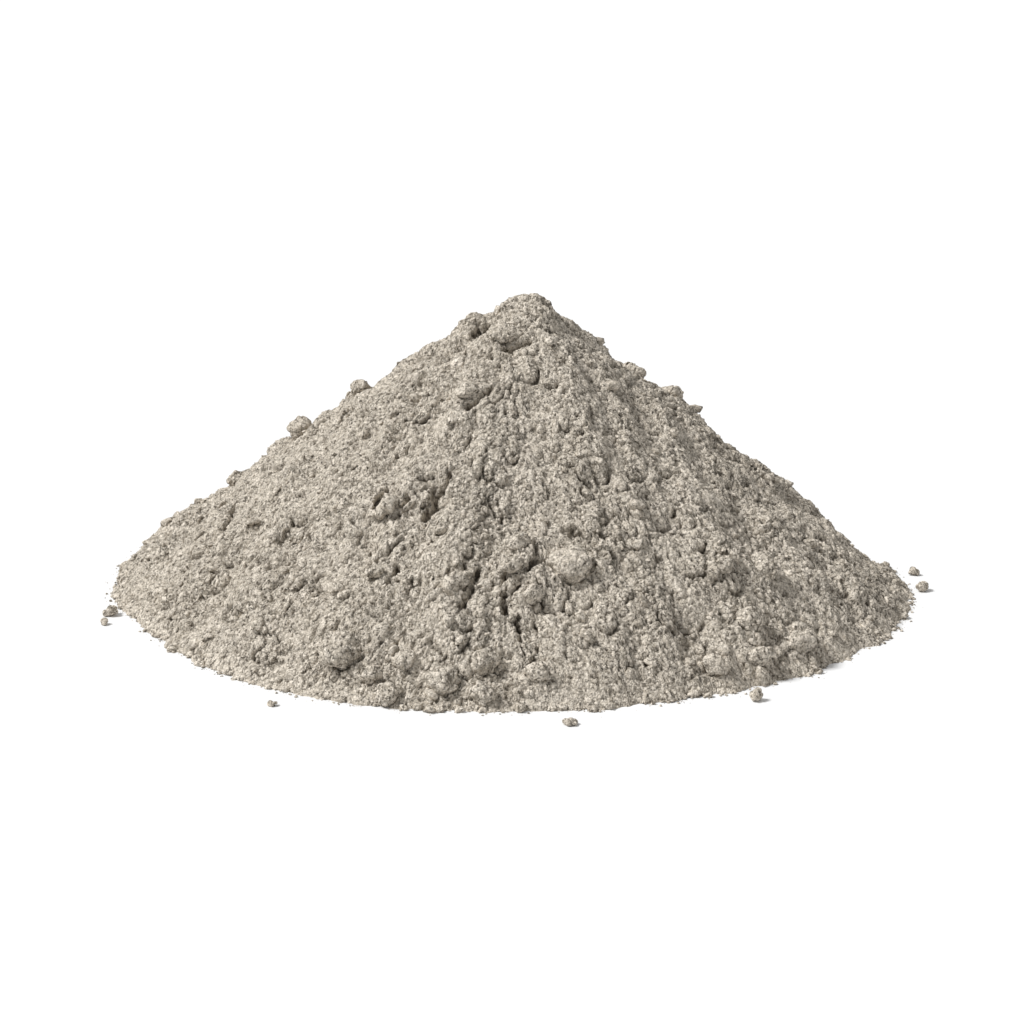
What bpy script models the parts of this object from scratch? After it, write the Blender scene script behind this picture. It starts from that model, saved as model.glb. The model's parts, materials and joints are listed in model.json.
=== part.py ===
"""A heap of dry render powder, about one 25 kg bag tipped out on a level floor.

The heap is one mass of loose powder. Firmer clods lie bedded in its flanks and along its foot, and a few crumbs
have rolled clear of it on to the floor.

Frame: origin on the floor under the middle of the heap, +Z up, -Y towards the viewer, +X to the viewer's right.
Lengths in the tables are in millimetres in plan, because that is how such a heap is measured with a rule.
"""

import math

import bmesh
import bpy
from mathutils import Vector, noise
from mathutils.bvhtree import BVHTree

MM = 0.001

# Driving sizes of the heap
HEAP_HEIGHT = 207 * MM
PEAK = Vector((15, 0)) * MM
FOOT_RADIUS_MM = {
    0: 296,
    30: 271,
    60: 284,
    90: 281,
    120: 283,
    150: 294,
    180: 290,
    210: 276,
    240: 280,
    270: 276,
    300: 280,
    330: 291,
}
FOOT_RIPPLE = 3.0 * MM
FOOT_RIPPLES_ROUND = 4
CREST_ROUNDING = 0.06
BELLY_ALL_ROUND = 0.02
BELLY_TO_THE_LEFT = 0.10
BELLY_TOWARDS_PEAK = 1.5
TOE_HEIGHT = 5.0 * MM
TOE_SHARE = 0.03
RELIEF_FADES_OVER = 0.06
SURFACE_CELLS = 60

# Soft undulation of the flanks, and the ribs that fan out down them: how many round, and how many down
SWELL_HEIGHT = 3.2 * MM
SWELL_LENGTH = 44 * MM
RIB_HEIGHT = 4.0 * MM
RIBS_ROUND = 6.0
RIBS_DOWN = 2.4
RIBS_START = 0.33
# Slumps: lumps that broke off above and slid, longer down the slope than across it
SLUMP_HEIGHT = 12.0 * MM
SLUMP_SPACING = 25 * MM
SLUMP_STRETCH = 1.3
SLUMP_EDGE = 0.7
SLUMP_MEAN = 0.42
FALL_LINES = 12
NOISE_FALLOFF = 0.7
NOISE_STEP = 2.1
NOISE_LAYERS = 3

# Ridges (+) and gullies (-) left by the powder sliding: (plan points), half width, height
SLIDE_TAPER = 0.12
SLIDES_MM = [
    # the spine that falls from the peak towards the viewer, with the gully on its right
    (((24, -8), (47, -50), (55, -104), (38, -146)), 13, 9.0),
    (((38, -8), (62, -46), (75, -92), (70, -124), (54, -150)), 9, -8.0),
    # the right face, furrowed from the peak down
    (((70, -24), (82, -62), (88, -100)), 8, 4.5),
    (((86, -18), (98, -56), (106, -100)), 8, -6.5),
    (((100, -8), (118, -52), (128, -96)), 9, 5.5),
    (((116, -4), (134, -44), (146, -84)), 8, -6.5),
    (((126, -84), (140, -126), (146, -188)), 13, 6.5),
    (((150, -4), (166, -50), (172, -100), (176, -118)), 10, -6.0),
    (((106, -100), (118, -146), (124, -200)), 11, -7.5),
    (((190, -10), (206, -60), (214, -96)), 11, 4.5),
    (((196, 30), (226, 10), (246, -14)), 10, -4.0),
    # the lower spine in front, between the two faces
    (((68, -142), (92, -180), (106, -226)), 17, 7.5),
    # the broad left fan
    (((-60, -20), (-104, -58), (-160, -92)), 24, 5.0),
    (((-176, -16), (-204, -50), (-222, -74)), 10, -5.0),
    (((-120, -40), (-160, -60), (-196, -90)), 9, -3.5),
    (((-66, -96), (-88, -150), (-104, -196)), 12, -4.0),
    (((-20, -104), (-32, -150), (-38, -190)), 14, 4.5),
    (((0, -150), (-8, -196), (-12, -236)), 10, -4.5),
    (((-130, -106), (-152, -140), (-166, -176)), 10, -4.0),
    # the far side, which the viewer doesn't see
    (((30, 24), (58, 84), (66, 140), (60, 196)), 15, 7.5),
    (((6, 40), (16, 96), (22, 150)), 11, -7.0),
    (((-20, 30), (-44, 86), (-62, 148), (-96, 206)), 16, 7.0),
    (((-60, 40), (-100, 92), (-128, 128)), 11, -6.5),
    (((-90, 16), (-150, 60), (-204, 96)), 15, 5.5),
    (((70, 40), (112, 84), (150, 122)), 11, -6.5),
    (((96, 24), (156, 62), (206, 88)), 14, 5.0),
]

# Slumped lumps (+) and hollows (-) with steep sides and a flat top: plan point, half width, height
LUMP_STEEPNESS = 3
LUMPS_MM = [
    # the blunt peak, the notch and the lobe on its left, and the shoulder on its right
    ((16, -2), 22, 6.0),
    ((-7, 2), 8, -4.0),
    ((-25, 2), 15, 9.0),
    ((50, 8), 15, 5.5),
    ((69, 24), 12, 8.0),
    ((36, 18), 9, -3.0),
    # the pits below the lobe and the lip beside them
    ((-16, -19), 7, -4.5),
    ((4, -42), 8, -4.0),
    ((2, -26), 9, 3.0),
    # lumps in the left skyline
    ((-60, 14), 12, 2.0),
    ((-80, 26), 10, 6.0),
    ((-99, 36), 12, -6.0),
    ((-144, 55), 15, -13.0),
    ((-136, 32), 13, -10.0),
    ((-186, 70), 13, -6.5),
    ((-186, 92), 14, -7.0),
    ((-212, 34), 16, -6.0),
    ((-214, 78), 18, -7.0),
    ((-254, 60), 22, 8.0),
    # the tail of the right skyline runs out thin
    ((94, 34), 13, 7.0),
    ((134, 52), 15, 8.0),
    ((178, 70), 14, 3.0),
    ((222, 76), 14, 2.0),
    ((242, 68), 20, -3.0),
    ((258, 8), 24, -7.0),
    ((266, 42), 28, -13.0),
    ((256, 88), 24, -14.0),
    # slumped lobes of the front face, and the crack between two of them
    ((-30, -84), 14, 5.0),
    ((-80, -134), 14, 4.5),
    ((-48, -140), 9, -6.5),
    ((-36, -126), 10, 3.0),
    ((-75, -180), 9, -5.0),
    ((-18, -172), 10, 4.0),
    ((-38, -188), 11, 4.5),
    ((10, -200), 22, 4.5),
    ((62, -204), 12, -5.0),
    ((-38, -214), 12, 4.0),
    ((-144, -150), 20, 4.0),
    ((-108, -206), 14, 4.0),
    ((172, -150), 20, 5.0),
    ((150, -214), 15, 4.5),
    ((116, -62), 10, -3.5),
    # the far side
    ((-40, 190), 20, 5.5),
    ((96, 176), 19, 5.5),
    ((180, 110), 18, 4.5),
    ((-170, 140), 19, 5.0),
    ((30, 118), 13, -6.0),
    ((-10, 214), 12, 4.5),
    ((140, 190), 12, -4.5),
    ((-120, 186), 12, 4.0),
]

# Clods: name: plan point, size across, share of it that is bedded in the heap, length over width, turn in degrees
CLODS_MM = {
    "clod_face_large": ((44, -184), 30, 0.50, 1.10, 100),
    "clod_face_slab_upper": ((9, -182), 10, 0.42, 2.00, 40),
    "clod_face_slab_middle": ((5, -197), 12, 0.42, 1.70, 44),
    "clod_face_slab_lower": ((18, -211), 13, 0.45, 1.45, 60),
    "clod_face_left_low": ((-35, -200), 17, 0.55, 1.55, 64),
    "clod_upper_face": ((-27, -76), 12, 0.45, 2.10, 38),
    "clod_left_face": ((-80, -133), 15, 0.50, 1.50, 50),
    "clod_left_face_small": ((-88, -182), 10, 0.40, 1.20, 0),
    "clod_crown_lip": ((1, -29), 14, 0.55, 1.90, 14),
    "clod_foot_left_large": ((-108, -228), 25, 0.46, 1.25, 40),
    "clod_foot_left_inner": ((-88, -246), 14, 0.40, 1.20, 80),
    "clod_foot_left_outer": ((-77, -262), 15, 0.34, 1.15, 20),
    "clod_foot_left_long": ((-66, -243), 15, 0.44, 1.45, 70),
    "clod_foot_ball": ((-41, -258), 21, 0.36, 1.05, 0),
    "clod_foot_middle_upper": ((-14, -246), 19, 0.50, 1.25, 30),
    "clod_foot_middle_lower": ((-15, -267), 16, 0.36, 1.20, 10),
    "clod_foot_centre": ((20, -258), 13, 0.45, 1.35, 150),
    "clod_right_ball": ((163, -190), 20, 0.38, 1.10, 90),
    "clod_right_upper": ((177, -137), 20, 0.52, 1.45, 120),
    "clod_right_middle": ((148, -160), 13, 0.48, 1.30, 40),
    "clod_right_foot_inner": ((170, -211), 15, 0.42, 1.20, 10),
    "clod_right_foot_lower": ((140, -226), 16, 0.42, 1.25, 160),
    "clod_right_foot_outer": ((200, -184), 18, 0.45, 1.35, 30),
    "clod_left_skyline_high": ((-108, 40), 14, 0.25, 1.15, 80),
    "clod_left_skyline_middle": ((-153, 60), 18, 0.22, 1.15, 20),
    "clod_left_skyline_low": ((-203, 74), 12, 0.28, 1.25, 0),
    "clod_right_skyline_high": ((93, 30), 16, 0.50, 1.35, 140),
    "clod_right_skyline_middle": ((122, 42), 14, 0.46, 1.30, 150),
    "clod_right_skyline_small": ((137, 50), 9, 0.45, 1.15, 0),
    "clod_right_skyline_low": ((178, 62), 11, 0.48, 1.35, 150),
    "clod_right_tail": ((218, 76), 13, 0.52, 1.35, 155),
    "clod_back_upper": ((-30, 82), 17, 0.46, 1.40, 110),
    "clod_back_middle": ((58, 142), 24, 0.48, 1.20, 60),
    "clod_back_left": ((-122, 146), 20, 0.46, 1.30, 130),
    "clod_back_foot_left": ((-86, 246), 19, 0.42, 1.20, 20),
    "clod_back_foot_ball": ((-20, 262), 18, 0.36, 1.05, 0),
    "clod_back_foot_middle": ((12, 248), 14, 0.42, 1.30, 100),
    "clod_back_foot_right": ((122, 226), 22, 0.44, 1.25, 150),
    "clod_back_right": ((170, 150), 16, 0.42, 1.35, 40),
}

# Crumbs that lie clear of the heap on the floor: name: plan point, size across, thickness over size
CRUMBS_MM = {
    "crumb_right_upper": ((305, 26), 6.5, 0.85),
    "crumb_right_lower": ((306, -14), 9.0, 0.85),
    "crumb_front_right": ((165, -254), 8.5, 0.80),
    "crumb_front_middle": ((42, -300), 8.0, 0.45),
    "crumb_front_left": ((-153, -264), 5.0, 0.60),
    "crumb_left": ((-284, -72), 9.0, 0.75),
    "crumb_left_outer": ((-286, -94), 5.0, 0.70),
    "crumb_back_right": ((196, 226), 7.0, 0.80),
    "crumb_back_left": ((-150, 262), 8.0, 0.75),
}

CLOD_FLATNESS = 0.92
CLOD_ROUGHNESS = 0.27
KNOBS_ACROSS_CLOD = 2.6
CRUMB_STRETCH = 1.15
CRUMB_TURN_STEP = 47
CLOD_SEED_STEP = 7.3
CRUMB_SEED = 300
CRUMB_SEED_STEP = 5.1
SOCKET_GAP = 0.4 * MM
SOCKET_MARGIN = 1.2
LEAST_BED_UNDER_CLOD = 1.6 * MM

POWDER_COLOUR = (0.43, 0.385, 0.32, 1.0)
CLOD_COLOUR = (0.46, 0.41, 0.345, 1.0)
POWDER_ROUGHNESS = 1.0


def foot_radius(azimuth):
    """Distance from the origin to the edge of the heap, on a smooth closed curve through FOOT_RADIUS_MM."""
    step = 360 / len(FOOT_RADIUS_MM)
    radii = list(FOOT_RADIUS_MM.values())
    place = math.degrees(azimuth) % 360 / step
    first = int(place)
    t = place - first
    before, a, b, after = (radii[(first + k) % len(radii)] for k in (-1, 0, 1, 2))
    curve = 2 * a + (b - before) * t
    curve += (2 * before - 5 * a + 4 * b - after) * t**2
    curve += (3 * a - before - 3 * b + after) * t**3
    ripple = noise.noise(Vector((math.cos(azimuth), math.sin(azimuth), 0.3)) * FOOT_RIPPLES_ROUND)
    return curve / 2 * MM + ripple * FOOT_RIPPLE


def distance_to_path(point, path_mm):
    """Distance in plan from a point to a path of straight legs, and how far along the path that is, 0 to 1."""
    nearest = (1e9, 0.0)
    legs = len(path_mm) - 1
    for leg in range(legs):
        start = Vector(path_mm[leg]) * MM
        along = Vector(path_mm[leg + 1]) * MM - start
        t = max(0.0, min(1.0, (point - start).dot(along) / along.length_squared))
        nearest = min(nearest, ((point - start - along * t).length, (leg + t) / legs))
    return nearest


def slump_height(point):
    """Height of the slumps at a point of the plan. Each sector has its own fall line, and neighbours cross over."""
    sector_angle = 2 * math.pi / FALL_LINES
    turn = math.atan2(point.y, point.x) / sector_angle
    first = math.floor(turn)
    crossing = turn - first
    crossing = crossing * crossing * (3 - 2 * crossing)
    heights = []
    for sector in (first, first + 1):
        angle = sector * sector_angle
        down = point.x * math.cos(angle) + point.y * math.sin(angle)
        across = point.y * math.cos(angle) - point.x * math.sin(angle)
        place = Vector((down / SLUMP_STRETCH, across, 0.0)) / SLUMP_SPACING
        place.z = sector % FALL_LINES
        distances, _ = noise.voronoi(place)
        dome = max(0.0, 1 - (distances[0] / SLUMP_EDGE) ** 2)
        heights.append(dome - SLUMP_MEAN)
    return SLUMP_HEIGHT * (heights[0] + (heights[1] - heights[0]) * crossing)


def relief(point, azimuth, share):
    """Height that the undulation, ribs, slumps, slides and lumps add to the plain heap at a point of the plan."""
    swell = Vector((*point, 0.0)) / SWELL_LENGTH
    rib = Vector((math.cos(azimuth) * RIBS_ROUND, math.sin(azimuth) * RIBS_ROUND, share * RIBS_DOWN))
    height = SWELL_HEIGHT * noise.fractal(swell, NOISE_FALLOFF, NOISE_STEP, NOISE_LAYERS)
    height += RIB_HEIGHT * min(1.0, share / RIBS_START) * noise.fractal(rib, NOISE_FALLOFF, NOISE_STEP, NOISE_LAYERS)
    height += slump_height(point) * min(1.0, share / RIBS_START)
    for path, half_width, rise in SLIDES_MM:
        away, along = distance_to_path(point, path)
        taper = math.sin(math.pi * (SLIDE_TAPER + (1 - 2 * SLIDE_TAPER) * along))
        height += rise * MM * taper * math.exp(-((away / (half_width * MM)) ** 2))
    for centre, half_width, rise in LUMPS_MM:
        away = (point - Vector(centre) * MM).length
        height += rise * MM * math.exp(-((away / (half_width * MM)) ** LUMP_STEEPNESS))
    return height


def heap_point(azimuth, share):
    """A point of the heap's surface: share runs from 0 at the peak to 1 at the foot."""
    foot = Vector((math.cos(azimuth), math.sin(azimuth))) * foot_radius(azimuth)
    plan = PEAK.lerp(foot, share)
    blunt = (1 - math.hypot(share, CREST_ROUNDING)) / (1 - CREST_ROUNDING)
    belly = BELLY_ALL_ROUND - BELLY_TO_THE_LEFT * math.cos(azimuth)
    height = HEAP_HEIGHT * (max(blunt, 0.0) + belly * share * (1 - share) ** BELLY_TOWARDS_PEAK)
    height += TOE_HEIGHT * (1 - math.exp(-(1 - share) / TOE_SHARE))
    height += relief(plan, azimuth, share) * min(1.0, (1 - share) / RELIEF_FADES_OVER)
    return Vector((*plan, max(height, 0.0) if share < 1 else 0.0))


def disc_from_square(u, v):
    """Azimuth and share of a point of the square grid, wrapped to a disc with cells of equal area."""
    if u == 0 and v == 0:
        return 0.0, 0.0
    if abs(u) > abs(v):
        azimuth, share = math.pi / 4 * v / u, u
    else:
        azimuth, share = math.pi / 2 - math.pi / 4 * u / v, v
    return azimuth + (math.pi if share < 0 else 0), abs(share)


def named_collection(name):
    collection = bpy.data.collections.new(name)
    bpy.context.scene.collection.children.link(collection)
    return collection


def powder_material(name, colour):
    material = bpy.data.materials.new(name)
    material.use_nodes = True
    shader = material.node_tree.nodes["Principled BSDF"]
    shader.inputs["Base Color"].default_value = colour
    shader.inputs["Roughness"].default_value = POWDER_ROUGHNESS
    shader.inputs["Metallic"].default_value = 0.0
    return material


def object_from(bm, name, collection, material):
    """Turns a bmesh into an object, shaded smooth, and frees the bmesh."""
    mesh = bpy.data.meshes.new(name)
    bm.to_mesh(mesh)
    bm.free()
    mesh.shade_smooth()
    mesh.materials.append(material)
    made = bpy.data.objects.new(name, mesh)
    collection.objects.link(made)
    return made


def make_heap(collection, material):
    """The loose powder: a square grid wrapped to the round foot and raised to the heap's height, with a flat base."""
    bm = bmesh.new()
    bmesh.ops.create_grid(bm, x_segments=SURFACE_CELLS, y_segments=SURFACE_CELLS, size=1)
    for vert in bm.verts:
        vert.co = heap_point(*disc_from_square(vert.co.x, vert.co.y))
    rim = [edge for edge in bm.edges if edge.is_boundary]
    bmesh.ops.holes_fill(bm, edges=rim)
    bmesh.ops.recalc_face_normals(bm, faces=bm.faces)
    bmesh.ops.triangulate(bm, faces=bm.faces)
    surface = BVHTree.FromBMesh(bm)
    return object_from(bm, "powder_heap", collection, material), surface


def lumpy_ball(size, stretch, flatness, turn, seed):
    """A clod or crumb round its own centre: a ball drawn out in plan, flattened, and pushed in and out a little."""
    bm = bmesh.new()
    bmesh.ops.create_icosphere(bm, subdivisions=2, radius=size / 2)
    cosine, sine = math.cos(math.radians(turn)), math.sin(math.radians(turn))
    for vert in bm.verts:
        push = noise.noise(vert.co / size * KNOBS_ACROSS_CLOD + Vector((seed, 0, 0)))
        ball = vert.co * (1 + CLOD_ROUGHNESS * 2 * push)
        long_way, short_way = ball.x * stretch, ball.y
        vert.co.x = long_way * cosine - short_way * sine
        vert.co.y = long_way * sine + short_way * cosine
        vert.co.z = ball.z * flatness
    return bm


def lowest(made):
    return min(vert.co.z for vert in made.data.vertices)


def cut_socket(clod, sockets, material):
    """The hollow that a clod lies in: its own shape, a little larger, which the heap is cut by."""
    bm = bmesh.new()
    bm.from_mesh(clod.data)
    nearest_to_centre = min(vert.co.length for vert in bm.verts)
    margin = SOCKET_GAP / nearest_to_centre * SOCKET_MARGIN
    bmesh.ops.scale(bm, verts=bm.verts, vec=Vector((1, 1, 1)) * (1 + margin))
    socket = object_from(bm, clod.name + "_socket", sockets, material)
    socket.location = clod.location
    socket.hide_render = True
    socket.display_type = "WIRE"


def make_clods(collection, sockets, surface, material):
    """Each clod is set on the heap's surface and pressed in along the slope's normal by its bedded share."""
    for seed, (name, (plan, size, bedded, stretch, turn)) in enumerate(CLODS_MM.items()):
        size *= MM
        bm = lumpy_ball(size, stretch, CLOD_FLATNESS, turn, seed * CLOD_SEED_STEP)
        clod = object_from(bm, name, collection, material)
        above = Vector((*plan, HEAP_HEIGHT / MM * 2)) * MM
        point, normal, _, _ = surface.ray_cast(above, Vector((0, 0, -1)))
        clod.location = point + normal * size * (0.5 - bedded)
        clod.location.z = max(clod.location.z, LEAST_BED_UNDER_CLOD - lowest(clod))
        cut_socket(clod, sockets, material)


def make_crumbs(collection, material):
    for seed, (name, (plan, size, flatness)) in enumerate(CRUMBS_MM.items()):
        turn = seed * CRUMB_TURN_STEP
        bm = lumpy_ball(size * MM, CRUMB_STRETCH, flatness, turn, CRUMB_SEED + seed * CRUMB_SEED_STEP)
        crumb = object_from(bm, name, collection, material)
        crumb.location = (plan[0] * MM, plan[1] * MM, -lowest(crumb))


def main():
    for old in list(bpy.data.objects):
        bpy.data.objects.remove(old)
    parts = named_collection("heap_of_render_powder")
    sockets = named_collection("clod_sockets")
    sockets.hide_render = True
    powder = powder_material("dry_render_powder", POWDER_COLOUR)
    clod_powder = powder_material("dry_render_clod", CLOD_COLOUR)

    heap, surface = make_heap(parts, powder)
    make_clods(parts, sockets, surface, clod_powder)
    make_crumbs(parts, clod_powder)

    bedding = heap.modifiers.new("clod sockets", "BOOLEAN")
    bedding.operation = "DIFFERENCE"
    bedding.operand_type = "COLLECTION"
    bedding.collection = sockets
    bedding.solver = "EXACT"


main()
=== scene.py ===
"""The looks of a heap of dry render powder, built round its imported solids."""

import json
import math

import bmesh
import bpy
from mathutils import Matrix, Vector

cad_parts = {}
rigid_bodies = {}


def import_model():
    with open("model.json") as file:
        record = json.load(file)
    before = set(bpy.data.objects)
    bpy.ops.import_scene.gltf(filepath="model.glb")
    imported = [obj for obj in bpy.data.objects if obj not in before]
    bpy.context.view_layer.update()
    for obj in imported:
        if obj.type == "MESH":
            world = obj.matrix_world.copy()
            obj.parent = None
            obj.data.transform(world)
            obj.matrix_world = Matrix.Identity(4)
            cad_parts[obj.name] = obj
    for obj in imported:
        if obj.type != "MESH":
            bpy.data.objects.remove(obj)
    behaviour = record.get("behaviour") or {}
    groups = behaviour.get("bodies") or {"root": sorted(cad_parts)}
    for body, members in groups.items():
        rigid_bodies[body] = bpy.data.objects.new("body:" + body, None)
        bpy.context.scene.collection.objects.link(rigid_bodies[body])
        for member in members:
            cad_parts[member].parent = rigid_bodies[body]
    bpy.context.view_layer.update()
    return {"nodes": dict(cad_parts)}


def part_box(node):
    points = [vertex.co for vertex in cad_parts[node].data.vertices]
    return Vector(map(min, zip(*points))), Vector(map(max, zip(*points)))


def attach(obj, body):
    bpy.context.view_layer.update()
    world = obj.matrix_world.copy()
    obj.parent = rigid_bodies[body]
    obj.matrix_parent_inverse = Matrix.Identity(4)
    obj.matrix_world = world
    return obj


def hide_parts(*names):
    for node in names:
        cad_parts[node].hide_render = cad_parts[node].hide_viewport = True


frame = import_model()

MM = 0.001

# Camera: low in front of the heap, on a long lens, as the heap was photographed.

LENS_MM, SENSOR_MM = 105, 36
CAMERA_ELEVATION = math.radians(16)
CAMERA_DISTANCE = 2.2
AIM = Vector((0.004, 0, 0.0567))

camera = bpy.data.objects.new("camera", bpy.data.cameras.new("camera"))
bpy.context.scene.collection.objects.link(camera)
camera.data.lens, camera.data.sensor_width = LENS_MM, SENSOR_MM
towards_camera = Vector((0, -math.cos(CAMERA_ELEVATION), math.sin(CAMERA_ELEVATION)))
camera.location = AIM + towards_camera * CAMERA_DISTANCE
camera.rotation_euler = (-towards_camera).to_track_quat("-Z", "Y").to_euler()
bpy.context.scene.camera = camera


# The powder itself: cement, lime and fine sand, dry and dead matt. It clings into soft granules of 2 to
# 5 mm with pores between them, and the shade in its pores and hollows is painted into its colour. One
# recipe serves the mass, its clods and its crumbs, so that they read as one stuff.


class Wire:
    """A socket of a node tree, which plain arithmetic joins to others by Math nodes."""

    def __init__(self, tree, socket=None):
        self.tree, self.socket = tree, socket

    def node(self, kind, settings=None, sockets=None, output=0):
        """Adds any node: its settings are set first, then the values or links of its sockets."""
        made = self.tree.nodes.new(kind)
        for name, value in (settings or {}).items():
            if name == "stops":
                ramp = made.color_ramp.elements
                while len(ramp) < len(value):
                    ramp.new(0.5)
                for stop, (place, colour) in zip(ramp, value):
                    stop.position, stop.color = place, colour
            else:
                setattr(made, name, value)
        for name, value in (sockets or {}).items():
            if isinstance(value, Wire):
                self.tree.links.new(value.socket, made.inputs[name])
            else:
                made.inputs[name].default_value = value
        return Wire(self.tree, made.outputs[output])

    def math(self, operation, *values):
        return self.node("ShaderNodeMath", {"operation": operation}, dict(enumerate(values)))

    def vector(self, operation, *values):
        return self.node("ShaderNodeVectorMath", {"operation": operation}, dict(enumerate(values)))

    def scaled(self, factor):
        return self.node("ShaderNodeVectorMath", {"operation": "SCALE"}, {0: self, "Scale": factor})

    def turned(self, angle):
        """This vector turned about the upright axis."""
        sockets = {"Vector": self, "Angle": angle}
        return self.node("ShaderNodeVectorRotate", {"rotation_type": "Z_AXIS"}, sockets)

    def part(self, axis):
        """One of this vector's three numbers."""
        return self.node("ShaderNodeSeparateXYZ", None, {0: self}, axis)

    def combined(self, x=0.0, y=0.0, z=0.0):
        """A vector of three numbers."""
        return self.node("ShaderNodeCombineXYZ", None, {0: x, 1: y, 2: z})

    def beside(self, output):
        """Another output of the node that this socket belongs to."""
        return Wire(self.tree, self.socket.node.outputs[output])

    def between(self, low, high):
        """0 below low, 1 above high and smooth in between."""
        return self.node(
            "ShaderNodeMapRange",
            {"interpolation_type": "SMOOTHSTEP"},
            {"Value": self, "From Min": low, "From Max": high},
        )

    def __add__(self, other):
        return self.math("ADD", self, other)

    def __sub__(self, other):
        return self.math("SUBTRACT", self, other)

    def __rsub__(self, other):
        return self.math("SUBTRACT", other, self)

    def __mul__(self, other):
        return self.math("MULTIPLY", self, other)

    def __truediv__(self, other):
        return self.math("DIVIDE", self, other)

    def __rtruediv__(self, other):
        return self.math("DIVIDE", other, self)

    def __pow__(self, other):
        return self.math("POWER", self, other)

    __radd__ = __add__
    __rmul__ = __mul__


def noise(place, size, detail=2.0, rough=0.5):
    """Soft noise round 0, about -0.5 to 0.5, with lumps of the given size in metres."""
    found = place.node(
        "ShaderNodeTexNoise",
        None,
        {"Vector": place, "Scale": 1 / size, "Detail": detail, "Roughness": rough},
    )
    return found - 0.5


def stirred(place, size, reach):
    """The place pushed about by noise, so that what is drawn there has a broken outline."""
    # one noise read at three spots, too far apart to be alike
    shifts = ((0, 0, 0), (5, 0, 0), (0, 5, 0))
    pushes = [noise(place.vector("ADD", place, shift), size, 1) for shift in shifts]
    return place.vector("ADD", place, place.combined(*pushes).scaled(reach))


def nearest(place, size):
    """How far off the nearest of many scattered middles is, as a share of how far apart they lie."""
    return place.node("ShaderNodeTexVoronoi", None, {"Vector": place, "Scale": 1 / size})


# each as a share of how far apart the bodies lie
LEAST_RADIUS, RADIUS_SPREAD = 0.32, 0.26
UNDERCUT_REACH, UNDERCUT_DEPTH = 0.20, 0.35


def half_buried(place, size, kept):
    """Round bodies that lie about size apart, half buried: how high each stands, as a share of size.

    Where a body has left an undercut, just outside its rim on the side of +X, the value is below 0. The
    share of the bodies that is kept may vary over the surface."""
    from_middle = nearest(place, size)
    chance, middle = from_middle.beside("Color"), from_middle.beside("Position")
    radius = chance.part(1) * RADIUS_SPREAD + LEAST_RADIUS
    bulge = radius * radius - from_middle * from_middle
    beyond = from_middle - radius
    downhill = (place.vector("SUBTRACT", place, middle).part(0) / size).between(0.0, 0.25)
    outside = beyond.math("GREATER_THAN", beyond, 0.0)
    undercut = outside * (1 - beyond.between(0.02, UNDERCUT_REACH)) * downhill
    there = chance.math("GREATER_THAN", chance.part(0), 1 - kept)
    return (bulge.math("SQRT", bulge.math("MAXIMUM", bulge, 0.0)) - undercut * UNDERCUT_DEPTH) * there


def grains_of(place, size):
    """Grains packed side by side: the tone of each, round 0, and how far a point is from its middle."""
    from_middle = nearest(place, size)
    return from_middle.beside("Color").part(0) - 0.5, from_middle


FALL_LINES = 16
FALL_LINE_WANDER, WANDER_SIZE = 0.9, 45 * MM
SECTOR_SHIFT = (0.37, 0.11, 0.53)


def drawn_out(place, stretch, pattern):
    """Draws a pattern out down the slope.

    Each sector round the heap has a frame of its own, whose X runs downhill, and neighbours cross over."""
    whole_turn = 2 * math.pi
    turn = place.math("ARCTAN2", place.part(1), place.part(0)) * (FALL_LINES / whole_turn)
    turn = turn + noise(place, WANDER_SIZE, 2) * FALL_LINE_WANDER
    lower = turn.math("FLOOR", turn)
    values = []
    for step in (0, 1):
        sector = lower.math("FLOORED_MODULO", lower + step, float(FALL_LINES))
        turned = place.turned(sector * (-whole_turn / FALL_LINES))
        shortened = turned.vector("MULTIPLY", turned, (1 / stretch, 1.0, 1 / stretch))
        shift = sector.combined(*(sector * each for each in SECTOR_SHIFT))
        values.append(pattern(shortened.vector("ADD", shortened, shift)))
    return values[0] + (values[1] - values[0]) * (turn - lower).between(0.3, 0.7)


MIX_SOCKETS = {"VECTOR": (4, 5, 1), "RGBA": (6, 7, 2)}


def mixed(kind, share, first, second):
    """Two vectors or two colours mixed: the first alone at a share of 0, and the second alone at 1."""
    one, other, output = MIX_SOCKETS[kind]
    return share.node("ShaderNodeMix", {"data_type": kind}, {0: share, one: first, other: second}, output)


PALE_POWDER = (0.84, 0.765, 0.66, 1.0)
MID_POWDER = (0.55, 0.492, 0.41, 1.0)
DARK_POWDER = (0.22, 0.186, 0.14, 1.0)
# the colour of painted shade, mixed in where hollows, undercuts, pits, pores and gaps between grains lie
PAINTED_SHADE_COLOUR = (0.06, 0.046, 0.03, 1.0)
MEAN_TONE = 0.66
DUST_GLOSS = 0.15

# how far apart the features of the powder lie, from wide drifts of tone down to its sand
DRIFT_SIZE = 70 * MM
PATCH_SIZE = 9 * MM
LUMP_SIZE = 5.5 * MM
PIT_SIZE = 4.5 * MM
CLOT_SIZE = 2.9 * MM
GRIT_SIZE = 2.2 * MM
PORE_SIZE = 1.9 * MM
SAND_SIZE = 1.25 * MM
STIR = (3.0 * MM, 1.6 * MM)


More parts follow.
